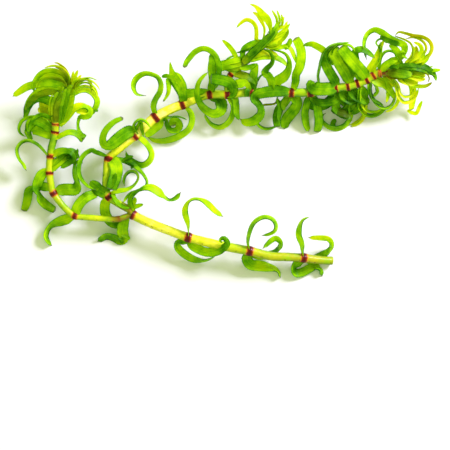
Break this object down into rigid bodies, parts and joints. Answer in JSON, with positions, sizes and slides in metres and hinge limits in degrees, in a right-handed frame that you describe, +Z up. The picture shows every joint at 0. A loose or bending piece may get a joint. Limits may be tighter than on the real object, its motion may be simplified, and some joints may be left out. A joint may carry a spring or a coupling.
{
  "type": "lagarosiphon muscoides",
  "caption": "Cut sprig of curly waterweed lying on its side: a jointed yellow stem that forks into leafy shoots, with narrow curled green leaves and crowded bright tips.",
  "frame": {"origin": "centre of the bounding box at the surface that the sprig lies on", "axes": "+X along the sprig's length towards the tip of the upper shoot, +Y across it towards the side shoot, +Z up from the surface"},
  "size_m": [0.1058, 0.0684, 0.0127],
  "materials": {
    "stem": "smooth, wet-looking yellow stem with dark red-brown rings at the nodes",
    "leaf": "thin translucent green blade, satin",
    "crown": "young lime to yellow leaves, satin"
  },
  "bodies": {
    "root": {"main_stem": "stem", "left_shoot_stem": "stem", "upper_shoot_stem": "stem", "side_shoot_stem": "stem", "main_leaf_1a": "leaf", "main_leaf_1b": "leaf", "main_leaf_1c": "leaf", "main_leaf_2a": "leaf", "main_leaf_2b": "leaf", "main_leaf_2c": "leaf", "main_leaf_3a": "leaf", "main_leaf_3b": "leaf", "main_leaf_3c": "leaf", "fork_leaf_a": "leaf", "fork_leaf_b": "leaf", "left_leaf_1a": "leaf", "left_leaf_1b": "leaf", "left_leaf_2a": "leaf", "left_leaf_2b": "leaf", "left_leaf_3a": "leaf", "left_leaf_3b": "leaf", "left_leaf_4a": "leaf", "left_leaf_4b": "leaf", "left_leaf_5a": "leaf", "left_leaf_5b": "leaf", "upper_leaf_1a": "leaf", "upper_leaf_1b": "leaf", "upper_leaf_1c": "leaf", "upper_leaf_1d": "leaf", "upper_leaf_2a": "leaf", "upper_leaf_2b": "leaf", "upper_leaf_2c": "leaf", "upper_leaf_3a": "leaf", "upper_leaf_3b": "leaf", "upper_leaf_3c": "leaf", "upper_leaf_4a": "leaf", "upper_leaf_4b": "leaf", "upper_leaf_4c": "leaf", "upper_leaf_4d": "leaf", "upper_leaf_5a": "leaf", "upper_leaf_5b": "leaf", "upper_leaf_6a": "leaf", "upper_leaf_6b": "leaf", "upper_leaf_6c": "leaf", "upper_leaf_7a": "leaf", "upper_leaf_7b": "leaf", "upper_leaf_8b": "leaf", "upper_leaf_8c": "leaf", "upper_leaf_9a": "leaf", "upper_leaf_9b": "leaf", "upper_leaf_10a": "leaf", "upper_leaf_10b": "leaf", "upper_leaf_10c": "leaf", "upper_leaf_10d": "leaf", "upper_leaf_11a": "leaf", "upper_leaf_11b": "leaf", "upper_leaf_11c": "leaf", "left_shoot_crown": "crown", "side_shoot_crown": "crown", "upper_shoot_crown": "crown"}
  },
  "joints": []
}
